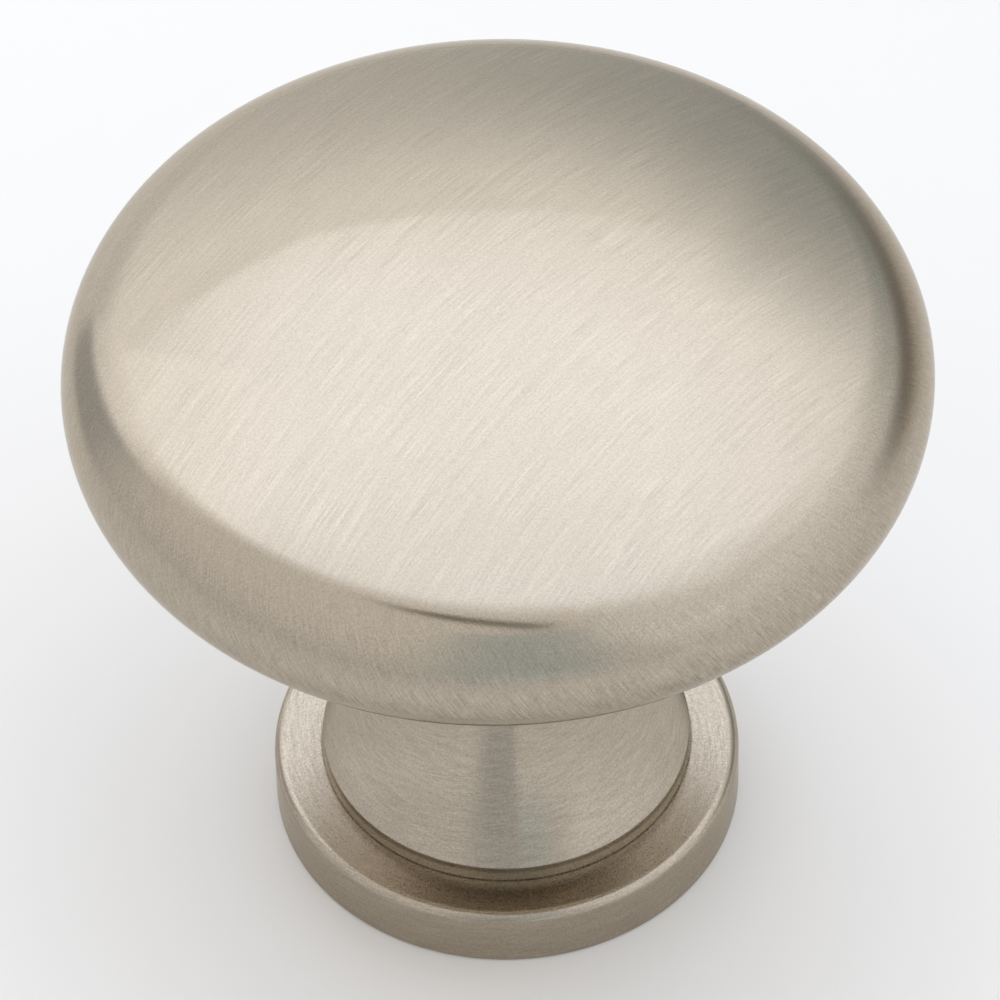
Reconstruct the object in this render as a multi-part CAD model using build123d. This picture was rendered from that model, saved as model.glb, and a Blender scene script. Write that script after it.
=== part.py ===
from build123d import *
import os
from math import atan2, cos, degrees, radians, sin, tan

# Round mushroom cabinet knob, cast as one piece: a domed cap with a full round rim, a waisted
# stem, a low shoulder and a flat base ring with a blind tapped hole. Every section is a circle,
# so one half outline is turned about the axis.
# Millimetres, +Z up. The origin is the centre of the flat underside, which sits on the door.

# Overall sizes
cap_diameter = 32.0
projection = 28.65

# Cap: a shallow crown, a round edge, a tighter rim and an underside that falls towards the stem.
# The tilts are the slopes at which the crown runs into the edge and the edge into the rim.
crown_tilt = 18.0
edge_round = 4.0
edge_tilt = 50.0
rim_top_round = 2.8
rim_under_round = 2.7
underside_slope = 12.0

# Stem: a cove under the cap, a short straight neck and a long concave flare down to the foot
cove_radius = 6.0
neck_diameter = 8.2
neck_length = 1.3
foot_diameter = 14.1
foot_edge_round = 0.08

# Shoulder: a low drafted step under the foot, which meets the base ring in a sharp crease
shoulder_height = 0.66
shoulder_draft = 6.0

# Base ring, whose flat ledge shows all round the shoulder
ledge_width = 1.83
base_thickness = 2.6
base_top_round = 0.42
base_bottom_round = 0.15

# Blind hole for a machine screw, drilled at the thread's inner diameter
tap_drill_diameter = 3.45
drill_depth = 15.0
drill_point_angle = 118.0
mouth_chamfer = 0.45

# Radii worked out from the sizes above
cap_radius = cap_diameter / 2
neck_radius = neck_diameter / 2
foot_radius = foot_diameter / 2
shoulder_radius = foot_radius + shoulder_height * tan(radians(shoulder_draft))
base_radius = shoulder_radius + ledge_width
hole_radius = tap_drill_diameter / 2
mouth_radius = hole_radius + mouth_chamfer
drill_point_height = hole_radius / tan(radians(drill_point_angle / 2))

# Heights, worked down from the top of the crown to the neck
rim_top_centre = cap_radius - rim_top_round
rim_under_centre = cap_radius - rim_under_round
edge_step = edge_round - rim_top_round
edge_centre = rim_top_centre - edge_step * sin(radians(edge_tilt))
crown_radius = edge_round + edge_centre / sin(radians(crown_tilt))
crown_centre_height = projection - crown_radius
edge_height = crown_centre_height + (crown_radius - edge_round) * cos(radians(crown_tilt))
rim_height = edge_height + edge_step * cos(radians(edge_tilt))
slope = radians(underside_slope)
underside_edge = (rim_under_centre + rim_under_round * sin(slope), rim_height - rim_under_round * cos(slope))
cove_end_radius = neck_radius + cove_radius * (1 - sin(slope))
cove_end_height = underside_edge[1] - (underside_edge[0] - cove_end_radius) * tan(slope)
neck_top_height = cove_end_height - cove_radius * cos(slope)
neck_foot_height = neck_top_height - neck_length

# The flare is the arc that leaves the neck straight down and ends at the foot
foot_height = base_thickness + shoulder_height
flare_reach = foot_radius - neck_radius
flare_drop = neck_foot_height - foot_height
flare_radius = (flare_reach**2 + flare_drop**2) / (2 * flare_reach)
flare_sweep = degrees(atan2(flare_drop, flare_radius - flare_reach))


def cap_outline():
    """Crown, edge, rim and underside, from the axis out and back in to the cove."""
    under_sweep = 90 - underside_slope
    return [
        CenterArc((0, crown_centre_height), crown_radius, 90 - crown_tilt, crown_tilt),
        CenterArc((edge_centre, edge_height), edge_round, 90 - edge_tilt, edge_tilt - crown_tilt),
        CenterArc((rim_top_centre, rim_height), rim_top_round, 0, 90 - edge_tilt),
        CenterArc((rim_under_centre, rim_height), rim_under_round, -under_sweep, under_sweep),
        Line(underside_edge, (cove_end_radius, cove_end_height)),
    ]


def stem_outline():
    """Cove, neck and flare, from the underside of the cap down to the foot."""
    cove_sweep = 90 - underside_slope
    return [
        CenterArc((neck_radius + cove_radius, neck_top_height), cove_radius, 180 - cove_sweep, cove_sweep),
        Line((neck_radius, neck_top_height), (neck_radius, neck_foot_height)),
        CenterArc((neck_radius + flare_radius, neck_foot_height), flare_radius, 180, flare_sweep),
    ]


def base_outline():
    """Shoulder, ledge, side wall and underside, from the foot in to the mouth of the hole."""
    return Polyline(
        (foot_radius, foot_height),
        (shoulder_radius, base_thickness),
        (base_radius, base_thickness),
        (base_radius, 0),
        (mouth_radius, 0),
    ).edges()


def hole_outline():
    """Chamfered mouth, wall and drill point, and the axis back up to the crown."""
    return Polyline(
        (mouth_radius, 0),
        (hole_radius, mouth_chamfer),
        (hole_radius, drill_depth),
        (0, drill_depth + drill_point_height),
        (0, projection),
    ).edges()


def round_corner(outline, corner, radius):
    """Round one corner of the half outline."""
    vertex = outline.vertices().sort_by_distance(Vector(*corner))[0]
    return fillet(vertex, radius)


def knob_body():
    """The whole knob, turned from its half outline."""
    outline = make_face(cap_outline() + stem_outline() + base_outline() + hole_outline())
    outline = round_corner(outline, (foot_radius, foot_height), foot_edge_round)
    outline = round_corner(outline, (base_radius, base_thickness), base_top_round)
    outline = round_corner(outline, (base_radius, 0), base_bottom_round)
    return revolve(Plane.XZ * outline, Axis.Z)


os.makedirs("parts", exist_ok=True)
export_step(knob_body(), "parts/knob_body.step")
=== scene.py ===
from collections import namedtuple
from math import atan2, cos, hypot, pi, radians, sin, tan

import bpy
import numpy as np
from mathutils import Matrix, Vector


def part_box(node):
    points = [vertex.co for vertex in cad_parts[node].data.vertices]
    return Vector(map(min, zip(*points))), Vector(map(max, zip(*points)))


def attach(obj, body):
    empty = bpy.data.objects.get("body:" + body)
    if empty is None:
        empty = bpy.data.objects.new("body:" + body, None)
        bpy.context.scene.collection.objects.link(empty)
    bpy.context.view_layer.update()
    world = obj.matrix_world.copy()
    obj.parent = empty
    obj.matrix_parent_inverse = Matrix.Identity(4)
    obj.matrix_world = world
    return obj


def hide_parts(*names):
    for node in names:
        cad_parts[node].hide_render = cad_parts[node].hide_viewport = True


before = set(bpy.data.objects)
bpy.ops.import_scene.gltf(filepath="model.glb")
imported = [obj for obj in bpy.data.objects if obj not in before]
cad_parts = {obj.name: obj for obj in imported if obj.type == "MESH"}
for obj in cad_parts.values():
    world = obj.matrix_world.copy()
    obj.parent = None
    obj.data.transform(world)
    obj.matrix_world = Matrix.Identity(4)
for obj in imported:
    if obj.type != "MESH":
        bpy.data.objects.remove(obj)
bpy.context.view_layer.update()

# Round mushroom cabinet knob in brushed satin nickel: a domed cap with a full round rim, a waisted
# stem, a low shoulder and a base ring, turned about +Z from one half outline, with a screw thread
# in the blind hole. Metres, +Z up, and the origin is the centre of the flat underside.
mm = 0.001

# Overall sizes, from the frame
knob_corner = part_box("knob_body")[1]
cap_radius = knob_corner.x
projection = knob_corner.z

# Cap: a shallow crown, a round edge, the rim and the underside; tilts are from the level crown
crown_tilt = radians(18.0)
edge_round = 4.0 * mm
edge_tilt = radians(50.0)
rim_top_round = 2.8 * mm
rim_under_round = 2.7 * mm
underside_slope = radians(12.0)

# Stem: cove, neck and flare
cove_radius = 6.0 * mm
neck_radius = 4.1 * mm
neck_length = 1.3 * mm
foot_radius = 7.05 * mm
foot_edge_round = 0.08 * mm

# Shoulder and base ring
shoulder_height = 0.66 * mm
shoulder_draft = radians(6.0)
ledge_width = 1.83 * mm
base_thickness = 2.6 * mm
base_top_round = 0.42 * mm
base_bottom_round = 0.15 * mm

# Blind hole with its thread, cut outwards from the tap drill's radius, from a share of the chamfer up
hole_radius = 1.725 * mm
drill_depth = 15.0 * mm
drill_point_angle = radians(118.0)
mouth_chamfer = 0.45 * mm
thread_pitch = 0.794 * mm
thread_depth = 0.358 * mm
thread_start_share = 0.4
thread_run_out = 1.5 * mm

# Mesh: divisions round the axis, and rows along each stretch of the half outline
segments = 160
crown_rows = 56
rim_rows = 24
straight_rows = 8
cove_rows = 20
flare_rows = 26
corner_rows = 8
rows_per_pitch = 10
least_row_gap = 1e-9
sharp_angle = radians(40.0)
hole_map_share = 0.05

# Radii and heights worked out from the sizes above
shoulder_radius = foot_radius + shoulder_height * tan(shoulder_draft)
base_radius = shoulder_radius + ledge_width
foot_height = base_thickness + shoulder_height
mouth_radius = hole_radius + mouth_chamfer
drill_point_height = hole_radius / tan(drill_point_angle / 2)
rim_top_centre = cap_radius - rim_top_round
rim_under_centre = cap_radius - rim_under_round
edge_centre = rim_top_centre - (edge_round - rim_top_round) * sin(edge_tilt)
crown_radius = edge_round + edge_centre / sin(crown_tilt)
crown_centre_height = projection - crown_radius
edge_height = crown_centre_height + (crown_radius - edge_round) * cos(crown_tilt)
rim_height = edge_height + (edge_round - rim_top_round) * cos(edge_tilt)
underside_edge_radius = rim_under_centre + rim_under_round * sin(underside_slope)
underside_edge_height = rim_height - rim_under_round * cos(underside_slope)
cove_end_radius = neck_radius + cove_radius * (1 - sin(underside_slope))
cove_end_height = underside_edge_height - (underside_edge_radius - cove_end_radius) * tan(underside_slope)
neck_top_height = cove_end_height - cove_radius * cos(underside_slope)
neck_foot_height = neck_top_height - neck_length
flare_reach = foot_radius - neck_radius
flare_drop = neck_foot_height - foot_height
flare_radius = (flare_reach**2 + flare_drop**2) / (2 * flare_reach)
flare_sweep = atan2(flare_drop, flare_radius - flare_reach)

# Lengths along the half outline, from the top of the crown
crown_end_length = crown_radius * crown_tilt
edge_end_length = crown_end_length + edge_round * (edge_tilt - crown_tilt)
rim_middle_length = edge_end_length + rim_top_round * (pi / 2 - edge_tilt)
rim_end_length = rim_middle_length + rim_under_round * (pi / 2 - underside_slope)

# Brush strokes, as layers of weight, width and length in millimetres, and lean, over a fine grain
crown_sweep_centre = (72 * mm, -63 * mm)
crown_strokes = ((0.75, 0.055, 2.0, 0.06), (0.55, 0.1, 3.6, -0.06))
rim_strokes = ((2.6, 0.065, 0.9, -0.55), (0.8, 0.07, 0.6, 0.5))
turned_strokes = ((1.2, 0.06, 1.5, 0.16), (0.65, 0.11, 2.0, -0.14))
layer_gap = 7.3
patch_size = 1.8 * mm
patch_contrast = 2.0
grain_size = 0.075 * mm
crown_grain = 1.1
rim_grain = 1.5
turned_grain = 1.7
rim_upper_share = 0.4
base_stroke_share = 0.9
stroke_depth = 0.0005 * mm
zone_overlap = 1.0 * mm

# Finish: how rough each zone is, its tint between the dark nickel at 0 and the light at 1, and what a
# stroke adds to both
crown_roughness = 0.05
rim_roughness = 0.2
ledge_roughness = 0.26
wall_roughness = 0.25
stroke_roughness = -0.03
crown_tint = 0.61
rim_tint = 0.5
# Painted shade: the lower rim's tint is darker than the rest of the rim
rim_low_painted_shade = 0.25
stem_tint = 0.5
# Painted light: the cove's tint runs past the light nickel
cove_painted_light = 1.6
ledge_tint = 0.46
wall_tint = 0.34
stroke_tint = 0.6

# Painted shade: dark lines under the foot's edge and in the crease of the shoulder
foot_shade_drop = 0.14 * mm
foot_shade_reach = 0.2 * mm
crease_shade_reach = 0.09 * mm
painted_shade_tint = -1.1

# Colours of the nickel, the paper floor and the sky, and tones of the panels, as linear light
nickel_dark = (0.34, 0.295, 0.237)
nickel_light = (0.52, 0.453, 0.365)
nickel_edge = (0.9, 0.87, 0.82)
floor_near = (0.76, 0.75, 0.735)
floor_far = (0.87, 0.85, 0.83)
sky_low = (0.84, 0.84, 0.85)
sky_high = (1.0, 0.99, 0.98)
softbox_tone = (0.95, 1.0, 1.09)
panel_tone = (0.98, 1.0, 1.03)
warm_tone = (1.05, 1.0, 0.93)
cool_tone = (0.94, 1.05, 1.09)

# Stage: the floor and where it pales, the sky, and how far or high the panels stand
floor_size = 8.0
floor_roughness = 0.9
floor_pale_heading = 50.0
floor_pale_reach = 0.13
sky_pale_height = 0.8
softbox_height = 1.0
front_fill_height = 1.05
boom_height = 0.99
backdrop_distance = 1.9
strip_distance = 1.5
fill_distance = 1.35
front_screen_distance = 0.8
back_screen_distance = 0.16
side_screen_distance = 0.13
flag_distance = 18.0 * mm
curved_steps = 16

# Slanting edges of the softbox: heading inwards in degrees, then where each starts and how wide it is
softbox_cuts = ((55.6, -0.3, 0.35), (-56.0, -1.27, 0.015), (-112.0, -1.58, 0.98))

# Camera, fitted to the outlines in the photograph; lens and sensor in millimetres, angles in radians
camera_lens = 288.0
camera_sensor = 36.0
camera_back = 196.854 * mm
camera_height = 240.417 * mm
camera_pitch = 0.84982
camera_pan = -0.00014
camera_roll = 0.02456
camera_near = 10.0 * mm
camera_far = 10.0

# What a shader knows of a point on the knob
Surface = namedtuple("Surface", "place height radius angle length")


def arc(centre, radius, start, end, rows):
    """Points of the half outline along an arc, both ends included."""
    angles = np.linspace(start, end, rows + 1)
    return np.column_stack([centre[0] + radius * np.cos(angles), centre[1] + radius * np.sin(angles)])


def line(start, end, rows):
    """Points of the half outline along a straight run, both ends included."""
    share = np.linspace(0, 1, rows + 1)[:, None]
    return np.array(start) * (1 - share) + np.array(end) * share


def rounded(before, corner, after, radius, rows):
    """Arc that rounds the corner between two straight runs."""
    corner = np.array(corner)
    arrive = corner - np.array(before)
    leave = np.array(after) - corner
    arrive_angle = atan2(arrive[1], arrive[0])
    turn = (atan2(leave[1], leave[0]) - arrive_angle + pi) % (2 * pi) - pi
    side = 1 if turn > 0 else -1
    heading = np.array([cos(arrive_angle), sin(arrive_angle)])
    inward = side * np.array([-heading[1], heading[0]])
    centre = corner - heading * radius * abs(tan(turn / 2)) + inward * radius
    start = arrive_angle - side * pi / 2
    return arc(centre, radius, start, start + turn, rows)


def cap_outline():
    """Crown, edge, rim and underside, from the axis out and back in to the cove."""
    crown_end = pi / 2 - crown_tilt
    edge_end = pi / 2 - edge_tilt
    under_end = underside_slope - pi / 2
    underside_edge = (underside_edge_radius, underside_edge_height)
    return [
        arc((0, crown_centre_height), crown_radius, pi / 2, crown_end, crown_rows),
        arc((edge_centre, edge_height), edge_round, crown_end, edge_end, rim_rows),
        arc((rim_top_centre, rim_height), rim_top_round, edge_end, 0, rim_rows),
        arc((rim_under_centre, rim_height), rim_under_round, 0, under_end, rim_rows),
        line(underside_edge, (cove_end_radius, cove_end_height), straight_rows),
    ]


def stem_outline():
    """Cove, neck and flare, down to just above the foot."""
    cove_start = pi / 2 + underside_slope
    cove_centre = (neck_radius + cove_radius, neck_top_height)
    flare_centre = (neck_radius + flare_radius, neck_foot_height)
    return [
        arc(cove_centre, cove_radius, cove_start, pi, cove_rows),
        line((neck_radius, neck_top_height), (neck_radius, neck_foot_height), straight_rows),
        arc(flare_centre, flare_radius, pi, pi + flare_sweep, flare_rows)[:-1],
    ]


def base_outline():
    """Foot, shoulder, ledge, side wall and underside, in to the mouth of the hole."""
    foot = (foot_radius, foot_height)
    # A point 1 mm back along the flare's tangent, from which the foot's edge is rounded
    above_foot = (foot_radius - sin(flare_sweep) * mm, foot_height + cos(flare_sweep) * mm)
    crease = (shoulder_radius, base_thickness)
    top_corner = (base_radius, base_thickness)
    bottom_corner = (base_radius, 0)
    mouth = (mouth_radius, 0)
    return [
        rounded(above_foot, foot, crease, foot_edge_round, corner_rows),
        np.array([crease]),
        rounded(crease, top_corner, bottom_corner, base_top_round, corner_rows),
        rounded(top_corner, bottom_corner, mouth, base_bottom_round, corner_rows),
        line((base_radius - base_bottom_round, 0), mouth, straight_rows),
    ]


def hole_outline():
    """Chamfered mouth, wall and drill point of the hole."""
    rows = round((drill_depth - mouth_chamfer) / thread_pitch * rows_per_pitch)
    top = (hole_radius, drill_depth)
    return [
        line((mouth_radius, 0), (hole_radius, mouth_chamfer), straight_rows),
        line((hole_radius, mouth_chamfer), top, rows),
        line(top, (0, drill_depth + drill_point_height), straight_rows),
    ]


def joined(stretches):
    """One run of points from stretches that share their ends."""
    points = np.concatenate(stretches)
    gaps = np.linalg.norm(np.diff(points, axis=0), axis=1)
    return points[np.concatenate([[True], gaps > least_row_gap])]


def thread_cut(height, angle):
    """How far the thread is cut into the wall of the hole, at a height and an angle round the axis."""
    phase = height / thread_pitch - angle / (2 * pi)
    groove = (1 - np.cos(2 * pi * phase)) / 2
    start = np.clip(height / mouth_chamfer - thread_start_share, 0, 1)
    stop = np.clip((drill_depth - height) / thread_run_out, 0, 1)
    return thread_depth * groove * start * stop


def turned_points(outline, hole_start):
    """The outline turned about the axis, ring by ring, with the thread cut in the hole, then both ends."""
    rings = outline[1:-1]
    angle = np.arange(segments) * 2 * pi / segments
    radius = np.repeat(rings[:, :1], segments, axis=1)
    height = np.repeat(rings[:, 1:], segments, axis=1)
    threaded = (np.arange(len(rings))[:, None] >= hole_start) & (height < drill_depth)
    radius = radius + np.where(threaded, thread_cut(height, angle[None, :]), 0)
    grid = np.stack([radius * np.cos(angle), radius * np.sin(angle), height], axis=-1).reshape(-1, 3)
    ends = [[0, 0, outline[0, 1]], [0, 0, outline[-1, 1]]]
    return np.concatenate([grid, ends])


def turned_faces(ring_count):
    """Faces of the turned mesh: quads between rings, and fans at the crown's top and the drill point."""
    top = ring_count * segments
    tip = top + 1
    last = top - segments
    faces = []
    for step in range(segments):
        after = (step + 1) % segments
        faces.append((top, step, after))
        for here in range(0, last, segments):
            below = here + segments
            faces.append((here + step, below + step, below + after, here + after))
        faces.append((tip, last + after, last + step))
    return faces


def strip_map(mesh, shares):
    """Map of the turned surface as one strip: angle across it, and the share of the outline along it."""
    spots = mesh.uv_layers.new(name="OFBake")
    first_end = len(mesh.vertices) - 2
    for face in mesh.polygons:
        steps = [corner % segments for corner in face.vertices if corner < first_end]
        wraps = max(steps) - min(steps) > 1
        middle = sum(step + segments if wraps and step == 0 else step for step in steps) / len(steps)
        for loop in face.loop_indices:
            corner = mesh.loops[loop].vertex_index
            step = corner % segments
            if corner >= first_end:
                step = middle
            elif wraps and step == 0:
                step = segments
            spots.data[loop].uv = (step / segments, shares[corner])


def knob_mesh():
    """The whole knob as one closed mesh, with the length along the half outline kept on its points."""
    outside = cap_outline() + stem_outline() + base_outline()
    outline = joined(outside + hole_outline())
    hole_start = len(joined(outside)) - 1
    travel = np.concatenate([[0], np.cumsum(np.linalg.norm(np.diff(outline, axis=0), axis=1))])
    lengths = np.concatenate([np.repeat(travel[1:-1], segments), [travel[0], travel[-1]]])
    shares = np.interp(lengths, [0, travel[hole_start], travel[-1]], [1, hole_map_share, 0])
    points = turned_points(outline, hole_start)
    mesh = bpy.data.meshes.new("knob")
    mesh.from_pydata(points.tolist(), [], turned_faces(len(outline) - 2))
    attribute = mesh.attributes.new("outline_length", "FLOAT", "POINT")
    attribute.data.foreach_set("value", lengths.astype(np.float32))
    strip_map(mesh, shares)
    mesh.shade_smooth()
    mesh.set_sharp_from_angle(angle=sharp_angle)
    return mesh


def add(tree, kind, inputs=None, **options):
    """Add a shader node, set its options, and fill its inputs with values or links."""
    node = tree.nodes.new(kind)
    for name, value in options.items():
        setattr(node, name, value)
    for key, value in (inputs or {}).items():
        if isinstance(value, bpy.types.NodeSocket):
            tree.links.new(value, node.inputs[key])
        else:
            node.inputs[key].default_value = value
    return node


def calc(tree, operation, *values):
    """Result of a math node."""
    return add(tree, "ShaderNodeMath", dict(enumerate(values)), operation=operation).outputs[0]


def vector(tree, operation, *values):
    """Result of a vector math node that gives a vector."""
    inputs = dict(enumerate(values))
    return add(tree, "ShaderNodeVectorMath", inputs, operation=operation).outputs["Vector"]


def measured(tree, operation, *values):
    """Result of a vector math node that gives a number."""
    inputs = dict(enumerate(values))
    return add(tree, "ShaderNodeVectorMath", inputs, operation=operation).outputs["Value"]


def axes(tree, place):
    """The three parts of a vector."""
    return add(tree, "ShaderNodeSeparateXYZ", {0: place}).outputs


def ramp(tree, value, start, end):
    """Smooth step from 0 at start to 1 at end."""
    inputs = {"Value": value, "From Min": start, "From Max": end}
    return add(tree, "ShaderNodeMapRange", inputs, interpolation_type="SMOOTHSTEP").outputs[0]


def mixed(tree, share, first, second):
    """Blend of two numbers."""
    return add(tree, "ShaderNodeMix", {"Factor": share, "A": first, "B": second}).outputs[0]


def blended(tree, share, first, second):
    """Blend of two colours, which a share below 0 or above 1 carries on past them."""
    node = add(tree, "ShaderNodeMix", {"Factor": share}, data_type="RGBA", clamp_factor=False)
    node.inputs["A"].default_value = (*first, 1)
    node.inputs["B"].default_value = (*second, 1)
    return node.outputs["Result"]


def noise(tree, place, scale):
    """Smooth noise about 0, from -0.5 to 0.5."""
    inputs = {"Vector": place, "Scale": scale, "Detail": 0.0}
    return calc(tree, "SUBTRACT", add(tree, "ShaderNodeTexNoise", inputs).outputs["Fac"], 0.5)


def level_direction(degrees):
    """Direction in the floor's plane, by its angle from +X towards +Y."""
    return cos(radians(degrees)), sin(radians(degrees)), 0


def surface(tree):
    """Where a point lies on the knob: its place, height, radius, angle, and length along the outline."""
    place = add(tree, "ShaderNodeTexCoord").outputs["Object"]
    x, y, height = axes(tree, place)
    radius = measured(tree, "LENGTH", vector(tree, "MULTIPLY", place, (1, 1, 0)))
    angle = calc(tree, "ARCTAN2", x, calc(tree, "MULTIPLY", y, -1.0))
    length = add(tree, "ShaderNodeAttribute", attribute_name="outline_length").outputs["Fac"]
    return Surface(place, height, radius, angle, length)


def zone_borders(tree, on):
    """Borders where the crown passes into the rim, the rim into the stem and the stem into the base."""
    to_rim = ramp(tree, on.length, crown_end_length - zone_overlap / 2, edge_end_length)
    to_stem = ramp(tree, on.length, rim_end_length - zone_overlap, rim_end_length + zone_overlap)
    to_base = ramp(tree, on.height, foot_height + zone_overlap, foot_height)
    return to_rim, to_stem, to_base


def zoned(tree, borders, *parts):
    """Value that passes from each zone's part to the next one's at the borders."""
    value = parts[0]
    for border, part in zip(borders, parts[1:]):
        value = mixed(tree, border, value, part)
    return value


def brushed(tree, across, along, layers):
    """Sum of layers of strokes, which are noise drawn out along one of two lengths on the surface."""
    total = 0.0
    for layer, (weight, width, length, lean) in enumerate(layers):
        leant = calc(tree, "MULTIPLY_ADD", along, lean, across)
        parts = {
            0: calc(tree, "DIVIDE", leant, width * mm),
            1: calc(tree, "DIVIDE", along, length * mm),
            2: layer * layer_gap,
        }
        place = add(tree, "ShaderNodeCombineXYZ", parts).outputs[0]
        total = calc(tree, "MULTIPLY_ADD", noise(tree, place, 1.0), weight, total)
    return total


def crown_marks(tree, on):
    """Long strokes in shallow arcs about a point beside the knob, stronger in some patches."""
    offset = vector(tree, "SUBTRACT", on.place, (*crown_sweep_centre, 0))
    flat = vector(tree, "MULTIPLY", offset, (1, 1, 0))
    x, y, _ = axes(tree, flat)
    swing = calc(tree, "ARCTAN2", y, calc(tree, "MULTIPLY", x, -1.0))
    along = calc(tree, "MULTIPLY", swing, hypot(*crown_sweep_centre))
    strokes = brushed(tree, measured(tree, "LENGTH", flat), along, crown_strokes)
    patches = calc(tree, "MULTIPLY_ADD", noise(tree, on.place, 1 / patch_size), patch_contrast, 1.0)
    return calc(tree, "MULTIPLY", strokes, patches)


def rim_marks(tree, on, lower_rim):
    """Short slanting strokes across the rim, fainter on its upper side."""
    around = calc(tree, "MULTIPLY", on.angle, cap_radius)
    weight = mixed(tree, lower_rim, rim_upper_share, 1.0)
    return calc(tree, "MULTIPLY", brushed(tree, around, on.length, rim_strokes), weight)


def turned_marks(tree, on, to_base):
    """Strokes round the stem and the base, a little fainter on the base."""
    around = calc(tree, "MULTIPLY", on.angle, foot_radius)
    weight = mixed(tree, to_base, 1.0, base_stroke_share)
    return calc(tree, "MULTIPLY", brushed(tree, on.length, around, turned_strokes), weight)


def painted_shade_ring(tree, section, ring, reach):
    """Mask for painted shade: 1 on a ring round the axis, given by its radius and height, fading to 0 at a
    reach from it.
    """
    return ramp(tree, measured(tree, "DISTANCE", section, (*ring, 0)), reach, 0.0)


def painted_shade_lines(tree, on):
    """Painted shade: dark lines under the foot's edge and in the crease of the shoulder."""
    section = add(tree, "ShaderNodeCombineXYZ", {0: on.radius, 1: on.height}).outputs[0]
    foot = painted_shade_ring(tree, section, (foot_radius, foot_height - foot_shade_drop), foot_shade_reach)
    crease = painted_shade_ring(tree, section, (shoulder_radius, base_thickness), crease_shade_reach)
    return calc(tree, "MAXIMUM", foot, crease)


def tints_and_painted_light(tree, on, borders, lower_rim, to_wall):
    """Tint of the metal by zone, darker on the base, with painted shade low on the rim and painted light
    in the cove.
    """
    above_neck = ramp(tree, on.height, neck_top_height, cove_end_height)
    inside_cap = ramp(tree, on.radius, underside_edge_radius, cove_end_radius)
    in_cove = calc(tree, "MULTIPLY", above_neck, inside_cap)
    # Painted shade low on the rim and painted light in the cove
    rim = mixed(tree, lower_rim, rim_tint, rim_low_painted_shade)
    stem = mixed(tree, in_cove, stem_tint, cove_painted_light)
    base = mixed(tree, to_wall, ledge_tint, wall_tint)
    return zoned(tree, borders, crown_tint, rim, stem, base)


def satin_nickel():
    """Brushed nickel plate: arcs of strokes on the crown, slanting ones on the rim, turned ones below."""
    material = bpy.data.materials.new("satin_nickel")
    material.use_nodes = True
    tree = material.node_tree
    shader = tree.nodes["Principled BSDF"]
    on = surface(tree)
    borders = zone_borders(tree, on)
    lower_rim = ramp(tree, on.length, edge_end_length, rim_middle_length + zone_overlap)
    to_wall = ramp(tree, on.radius, base_radius - base_top_round, base_radius)

    turned = turned_marks(tree, on, borders[-1])
    strokes = zoned(tree, borders, crown_marks(tree, on), rim_marks(tree, on, lower_rim), turned)
    grain_weight = zoned(tree, borders, crown_grain, rim_grain, turned_grain)
    marks = calc(tree, "MULTIPLY_ADD", noise(tree, on.place, 1 / grain_size), grain_weight, strokes)

    tint_and_painted_light = tints_and_painted_light(tree, on, borders, lower_rim, to_wall)
    shade = calc(tree, "MULTIPLY_ADD", marks, stroke_tint, tint_and_painted_light)
    # Painted shade darkens the colour under the foot's edge and in the crease of the shoulder
    shade = calc(tree, "MULTIPLY_ADD", painted_shade_lines(tree, on), painted_shade_tint, shade)
    base_roughness = mixed(tree, to_wall, ledge_roughness, wall_roughness)
    smooth = zoned(tree, borders, crown_roughness, rim_roughness, rim_roughness, base_roughness)
    roughness = calc(tree, "MULTIPLY_ADD", marks, stroke_roughness, smooth)
    bump = add(tree, "ShaderNodeBump", {"Height": marks, "Strength": 1.0, "Distance": stroke_depth})

    tree.links.new(blended(tree, shade, nickel_dark, nickel_light), shader.inputs["Base Color"])
    tree.links.new(roughness, shader.inputs["Roughness"])
    tree.links.new(bump.outputs[0], shader.inputs["Normal"])
    shader.inputs["Metallic"].default_value = 1.0
    shader.inputs["Specular Tint"].default_value = (*nickel_edge, 1)
    return material


def knob():
    """The knob's shown piece, in place of the plain solid."""
    piece = bpy.data.objects.new("knob", knob_mesh())
    bpy.context.scene.collection.objects.link(piece)
    piece.data.materials.append(satin_nickel())
    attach(piece, "root")
    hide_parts("knob_body")


def floor_material():
    """Matt white paper, a little paler behind the knob and to its right."""
    material = bpy.data.materials.new("floor_paper")
    material.use_nodes = True
    tree = material.node_tree
    shader = tree.nodes["Principled BSDF"]
    place = add(tree, "ShaderNodeTexCoord").outputs["Object"]
    along = measured(tree, "DOT_PRODUCT", place, level_direction(floor_pale_heading))
    share = ramp(tree, along, -floor_pale_reach, 0.0)
    tree.links.new(blended(tree, share, floor_near, floor_far), shader.inputs["Base Color"])
    shader.inputs["Roughness"].default_value = floor_roughness
    shader.inputs["Specular IOR Level"].default_value = 0.0
    return material


def panel_share(tree, u, v, feather, cuts):
    """How much of a panel shows: 1 inside it, falling to 0 at its soft edges and slanting cuts."""
    left, right, near, far = feather
    edges = [
        ramp(tree, u, 0.0, left),
        ramp(tree, u, 1.0, 1.0 - right),
        ramp(tree, v, 0.0, near),
        ramp(tree, v, 1.0, 1.0 - far),
    ]
    spot = add(tree, "ShaderNodeTexCoord").outputs["Object"]
    for heading, start, width in cuts:
        inside = measured(tree, "DOT_PRODUCT", spot, level_direction(heading))
        edges.append(ramp(tree, inside, start, start + width))
    shown = edges[0]
    for edge in edges[1:]:
        shown = calc(tree, "MULTIPLY", shown, edge)
    return shown


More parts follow.
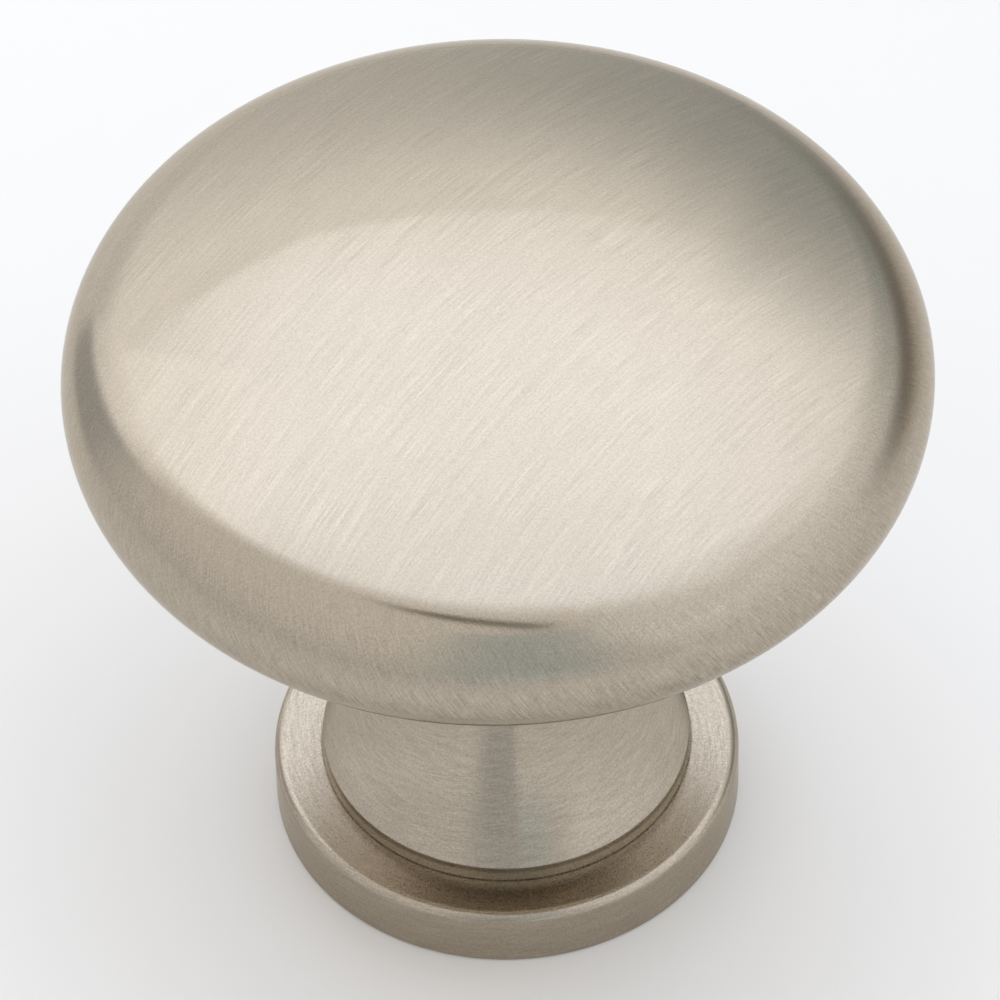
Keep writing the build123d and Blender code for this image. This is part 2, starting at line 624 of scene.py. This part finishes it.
def panel_material(name, levels, rise, feather, cuts, tone):
    """Light of a panel, clear where the panel doesn't show."""
    material = bpy.data.materials.new(name)
    material.use_nodes = True
    tree = material.node_tree
    tree.nodes.clear()
    u, v, _ = axes(tree, add(tree, "ShaderNodeUVMap", uv_map="panel").outputs[0])
    low, high = ([level * part for part in tone] for level in levels)
    light = blended(tree, ramp(tree, v, *rise), low, high)
    glow = add(tree, "ShaderNodeEmission", {"Color": light}).outputs[0]
    clear = add(tree, "ShaderNodeBsdfTransparent").outputs[0]
    shown = panel_share(tree, u, v, feather, cuts)
    both = add(tree, "ShaderNodeMixShader", {0: shown, 1: clear, 2: glow}).outputs[0]
    add(tree, "ShaderNodeOutputMaterial", {"Surface": both})
    return material


def stage_sheet(name, rows, material):
    """Sheet on the stage between a near and a far row of points, with a map along and across the rows."""
    near, far = rows
    count = len(near)
    mesh = bpy.data.meshes.new(name)
    faces = [(step, step + 1, count + step + 1, count + step) for step in range(count - 1)]
    mesh.from_pydata(near + far, [], faces)
    spots = mesh.uv_layers.new(name="panel")
    for loop, spot in zip(mesh.loops, spots.data):
        spot.uv = (loop.vertex_index % count / (count - 1), loop.vertex_index // count)
    mesh.materials.append(material)
    made = bpy.data.objects.new(name, mesh)
    bpy.context.scene.collection.objects.link(made)
    return made


def panel(name, rows, levels, feather, rise=(0, 1), cuts=(), tone=panel_tone):
    """Light or dark panel that the metal mirrors, hidden from the camera.

    Its near and far rows run from left to right. Its level passes from the first to the second between
    the two shares of the way across in rise. The feather is the soft share at its left, right, near and
    far edge.
    """
    made = stage_sheet(name, rows, panel_material(name, levels, rise, feather, cuts, tone))
    made.visible_camera = False


def overhead(height, left, right, front, back):
    """Rows of a level panel."""
    return [(left, front, height), (right, front, height)], [(left, back, height), (right, back, height)]


def wall(left, right, low, high):
    """Rows of an upright panel between two places on the floor, named as seen from the knob."""
    return [(*left, low), (*right, low)], [(*left, high), (*right, high)]


def curved(left, right, distance, highs, lean=0):
    """Rows of a screen that stands in an arc round the knob, up to elevations as seen from the rim.

    Its ends are headings in degrees from straight behind the knob towards the right, and the lean turns
    the top of its right end further.
    """
    near = []
    far = []
    for share in np.linspace(0, 1, curved_steps + 1):
        foot = radians(left + (right - left) * share)
        head = foot + radians(lean) * share
        elevation = radians(np.interp(share, np.linspace(0, 1, len(highs)), highs))
        height = rim_height + (distance - cap_radius) * tan(elevation)
        near.append((sin(foot) * distance, cos(foot) * distance, 0))
        far.append((sin(head) * distance, cos(head) * distance, height))
    return near, far


def soft_lights():
    """One large softbox above and behind the knob, and weaker panels behind it, beside it and in front."""
    panel(
        "softbox",
        overhead(softbox_height, left=-0.95, right=1.25, front=-0.6, back=1.27),
        levels=(1.62, 1.88),
        rise=(0.26, 0.58),
        feather=(0.3, 0.48, 0.3, 0.01),
        cuts=softbox_cuts,
        tone=softbox_tone,
    )
    panel(
        "backdrop",
        wall(left=(-3.0, backdrop_distance), right=(2.8, backdrop_distance), low=0, high=3.6),
        levels=(1.05, 1.42),
        rise=(0.12, 0.41),
        feather=(0.1, 0.15, 0.01, 0.45),
    )
    panel(
        "left_strip",
        curved(left=-80, right=-46.5, distance=strip_distance, highs=(66, 66), lean=28),
        levels=(1.15, 1.6),
        rise=(0, 0.42),
        feather=(0.62, 0.02, 0.02, 0.2),
    )
    panel(
        "fill",
        wall(left=(fill_distance, 1.5), right=(fill_distance, -2.6), low=0, high=2.2),
        levels=(1.06, 1.46),
        rise=(0, 0.9),
        feather=(0.19, 0.35, 0.01, 0.4),
    )
    panel(
        "front_fill",
        overhead(front_fill_height, left=0.15, right=1.6, front=-1.6, back=0.1),
        levels=(1.1, 1.2),
        feather=(0.35, 0.1, 0.2, 0.2),
    )


def dark_screens():
    """Grey screens round the knob, which the metal mirrors as the darker bands on its crown and rim."""
    panel(
        "back_screen",
        curved(left=-35, right=92, distance=back_screen_distance, highs=(36, 38, 41, 51, 52, 47, 45)),
        levels=(0.48, 0.48),
        feather=(0.57, 0.49, 0.02, 0.66),
        tone=cool_tone,
    )
    panel(
        "dark_screen",
        curved(left=15, right=98, distance=side_screen_distance, highs=(20, 24)),
        levels=(0.68, 0.28),
        rise=(0.1, 0.5),
        feather=(0.44, 0.42, 0.05, 0.39),
        tone=warm_tone,
    )
    panel(
        "left_screen",
        curved(left=-86, right=-46.7, distance=side_screen_distance, highs=(56, 8)),
        levels=(0.6, 0.6),
        feather=(0.5, 0.1, 0.1, 0.3),
    )
    panel(
        "front_screen",
        curved(left=204, right=149, distance=front_screen_distance, highs=(60, 60)),
        levels=(0.84, 0.7),
        rise=(0, 0.15),
        feather=(0.35, 0.3, 0.01, 0.2),
        tone=cool_tone,
    )


def dark_strips():
    """Card before the stem and boom overhead, mirrored as a band on the stem and a line above the rim."""
    left = (-8.5 * mm, -flag_distance)
    right = (1.8 * mm, -flag_distance)
    flag = wall(left, right, low=1.0 * mm, high=9.0 * mm)
    panel("flag", flag, levels=(0.65, 0.65), feather=(0.55, 0.02, 0.1, 0.1))
    near = [(-0.38, -0.19, boom_height), (0.18, -0.67, boom_height)]
    far = [(-0.34, -0.05, boom_height), (0.22, -0.49, boom_height)]
    panel("boom", (near, far), levels=(0.2, 0.2), feather=(0.4, 0.2, 0.42, 0.4), tone=warm_tone)


def sky():
    """World that pales from the horizon upwards."""
    world = bpy.data.worlds.new("studio")
    bpy.context.scene.world = world
    world.use_nodes = True
    tree = world.node_tree
    height = axes(tree, add(tree, "ShaderNodeTexCoord").outputs["Generated"])[2]
    share = ramp(tree, height, 0.0, sky_pale_height)
    background = tree.nodes["Background"]
    tree.links.new(blended(tree, share, sky_low, sky_high), background.inputs["Color"])
    background.inputs["Strength"].default_value = 1.0


def studio():
    """Pale floor with soft lights and dark screens round the knob, under a pale sky."""
    reach = floor_size / 2
    stage_sheet("floor", overhead(0, -reach, reach, -reach, reach), floor_material())
    soft_lights()
    dark_screens()
    dark_strips()
    sky()


def camera():
    """Camera at the photograph's viewing angle."""
    data = bpy.data.cameras.new("camera")
    data.lens = camera_lens
    data.sensor_width = camera_sensor
    data.clip_start = camera_near
    data.clip_end = camera_far
    made = bpy.data.objects.new("camera", data)
    bpy.context.scene.collection.objects.link(made)
    turn = Matrix.Rotation(-camera_pan, 4, "Z") @ Matrix.Rotation(pi / 2 - camera_pitch, 4, "X")
    place = Matrix.Translation((0, -camera_back, camera_height))
    made.matrix_world = place @ turn @ Matrix.Rotation(-camera_roll, 4, "Z")
    bpy.context.scene.camera = made


knob()
studio()
camera()
bpy.context.scene.view_settings.view_transform = "Standard"
